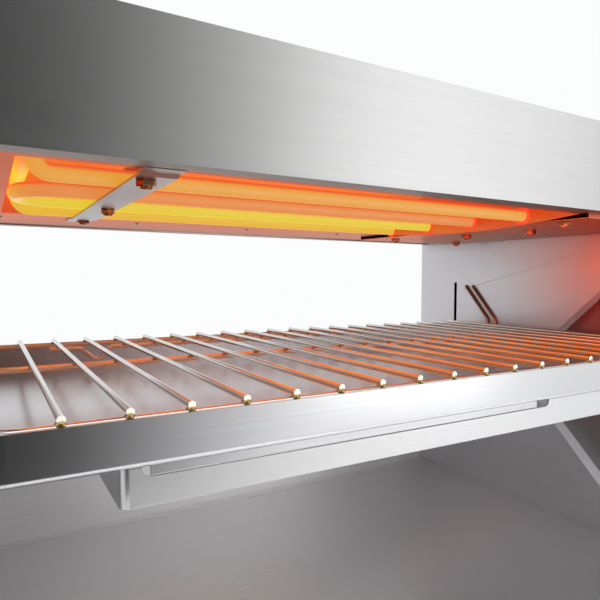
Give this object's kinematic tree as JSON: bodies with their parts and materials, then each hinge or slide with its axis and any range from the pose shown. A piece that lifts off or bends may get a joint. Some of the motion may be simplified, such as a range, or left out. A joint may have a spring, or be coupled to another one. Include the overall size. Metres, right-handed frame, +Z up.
{
  "type": "cheese melter",
  "caption": "Countertop melter with glowing tubular heaters under a hood, an open cooking space, a wire rack in a slide-out tray on a height-adjustable carriage, and side controls.",
  "frame": {"origin": "on the floor under the middle of the whole, feet at z 0", "axes": "+X to the right as seen from the front, +Y to the back, +Z up; the open front faces -Y"},
  "size_m": [0.8, 0.458, 0.5],
  "materials": {
    "hood_steel": "brushed along the length",
    "body_steel": "brushed",
    "inner_steel": "fine brushed",
    "zinc_sheet": "zinc coated, satin",
    "bright_reflector": "bright rolled",
    "glowing_tube": "red-hot metal sheath",
    "ceramic_body": "unglazed ceramic with a steel stud",
    "mineral_wool": "pressed fibre blanket",
    "screw_steel": "bright, slightly heat-tinted",
    "carriage_steel": "satin",
    "guide_rod_steel": "ground and polished",
    "slider_plastic": "moulded",
    "tray_steel": "satin",
    "rack_chrome": "polished wire",
    "guide_wire": "drawn wire, heat-darkened",
    "foot_plastic": "moulded over a steel stud",
    "knob_plastic": "moulded",
    "switch_plastic": "moulded",
    "rocker_plastic": "moulded",
    "gear_plastic": "moulded, heat resistant",
    "lamp_holder": "moulded",
    "lamp_lens": "clear amber moulding",
    "gland_plastic": "moulded",
    "loom_sleeve": "woven glass-fibre sleeve"
  },
  "bodies": {
    "chassis": {"base_pan": "body_steel", "base_screws": "screw_steel", "bottom_plate": "zinc_sheet", "cable_gland": "gland_plastic", "control_fascia": "body_steel", "element_clamp_bar": "zinc_sheet", "element_strap": "zinc_sheet", "element_terminals": "ceramic_body", "foot_bosses": "zinc_sheet", "foot_lock_nuts": "screw_steel", "gland_nuts": "gland_plastic", "guide_rod_brackets": "zinc_sheet", "guide_rods": "guide_rod_steel", "heating_element_inner": "glowing_tube", "heating_element_outer": "glowing_tube", "hood_bottom_plate": "zinc_sheet", "hood_shell": "hood_steel", "housing_partition": "inner_steel", "housing_rear_cover": "body_steel", "insulation_blanket": "mineral_wool", "lamp_bezels": "lamp_holder", "lamp_lenses": "lamp_lens", "lower_back_panel": "inner_steel", "outer_skin_left": "body_steel", "outer_skin_right": "body_steel", "power_regulator": "gear_plastic", "rear_screws": "screw_steel", "reflector_end_plate": "bright_reflector", "reflector_pan": "bright_reflector", "side_liner_left": "inner_steel", "side_liner_right": "inner_steel", "spindle_nuts": "screw_steel", "switch_frame": "switch_plastic", "terminal_blocks": "gear_plastic", "terminal_cover": "zinc_sheet", "timer_movement": "gear_plastic", "underside_rivets": "screw_steel", "underside_screws": "screw_steel", "wire_guides": "guide_wire", "wiring_loom": "loom_sleeve"},
    "carriage": {"carriage_front_rail": "carriage_steel", "carriage_arm_left": "carriage_steel", "carriage_arm_right": "carriage_steel", "carriage_rear_beam": "carriage_steel", "slider_blocks": "slider_plastic"},
    "tray": {"tray_pan": "tray_steel", "tray_tongue": "tray_steel"},
    "rack": {"rack_frame": "rack_chrome", "rack_wires": "rack_chrome", "rack_cross_rods": "rack_chrome"},
    "power_control": {"power_knob": "knob_plastic", "power_spindle": "screw_steel"},
    "timer_control": {"timer_knob": "knob_plastic", "timer_spindle": "screw_steel"},
    "rocker": {"switch_rocker": "rocker_plastic"},
    "front_left_foot": {"foot_front_left": "foot_plastic"},
    "front_right_foot": {"foot_front_right": "foot_plastic"},
    "rear_left_foot": {"foot_rear_left": "foot_plastic"},
    "rear_right_foot": {"foot_rear_right": "foot_plastic"}
  },
  "joints": [
    {"name": "shelf_height", "type": "slide", "parent": "chassis", "child": "carriage", "axis": [0, 0, 1], "range_m": [0, 0.07]},
    {"name": "tray_slide", "type": "slide", "parent": "carriage", "child": "tray", "axis": [0, -1, 0], "range_m": [0, 0.3]},
    {"name": "rack_lift", "type": "slide", "parent": "tray", "child": "rack", "axis": [0, 0, 1], "range_m": [0, 0.03]},
    {"name": "power_knob_turn", "type": "hinge", "parent": "chassis", "child": "power_control", "pos_m": [0.3365, -0.2175, 0.3357], "axis": [0, 1, 0], "range_deg": [0, 270]},
    {"name": "timer_knob_turn", "type": "hinge", "parent": "chassis", "child": "timer_control", "pos_m": [0.3365, -0.2175, 0.2434], "axis": [0, 1, 0], "range_deg": [0, 300]},
    {"name": "switch_rock", "type": "hinge", "parent": "chassis", "child": "rocker", "pos_m": [0.3365, -0.205, 0.1582], "axis": [1, 0, 0], "range_deg": [0, 16]},
    {"name": "front_left_foot_turn", "type": "hinge", "parent": "chassis", "child": "front_left_foot", "pos_m": [-0.355, -0.16, 0.02], "axis": [0, 0, 1], "continuous": true},
    {"name": "front_right_foot_turn", "type": "hinge", "parent": "chassis", "child": "front_right_foot", "pos_m": [0.355, -0.16, 0.02], "axis": [0, 0, 1], "continuous": true},
    {"name": "rear_left_foot_turn", "type": "hinge", "parent": "chassis", "child": "rear_left_foot", "pos_m": [-0.355, 0.166, 0.02], "axis": [0, 0, 1], "continuous": true},
    {"name": "rear_right_foot_turn", "type": "hinge", "parent": "chassis", "child": "rear_right_foot", "pos_m": [0.355, 0.166, 0.02], "axis": [0, 0, 1], "continuous": true}
  ]
}
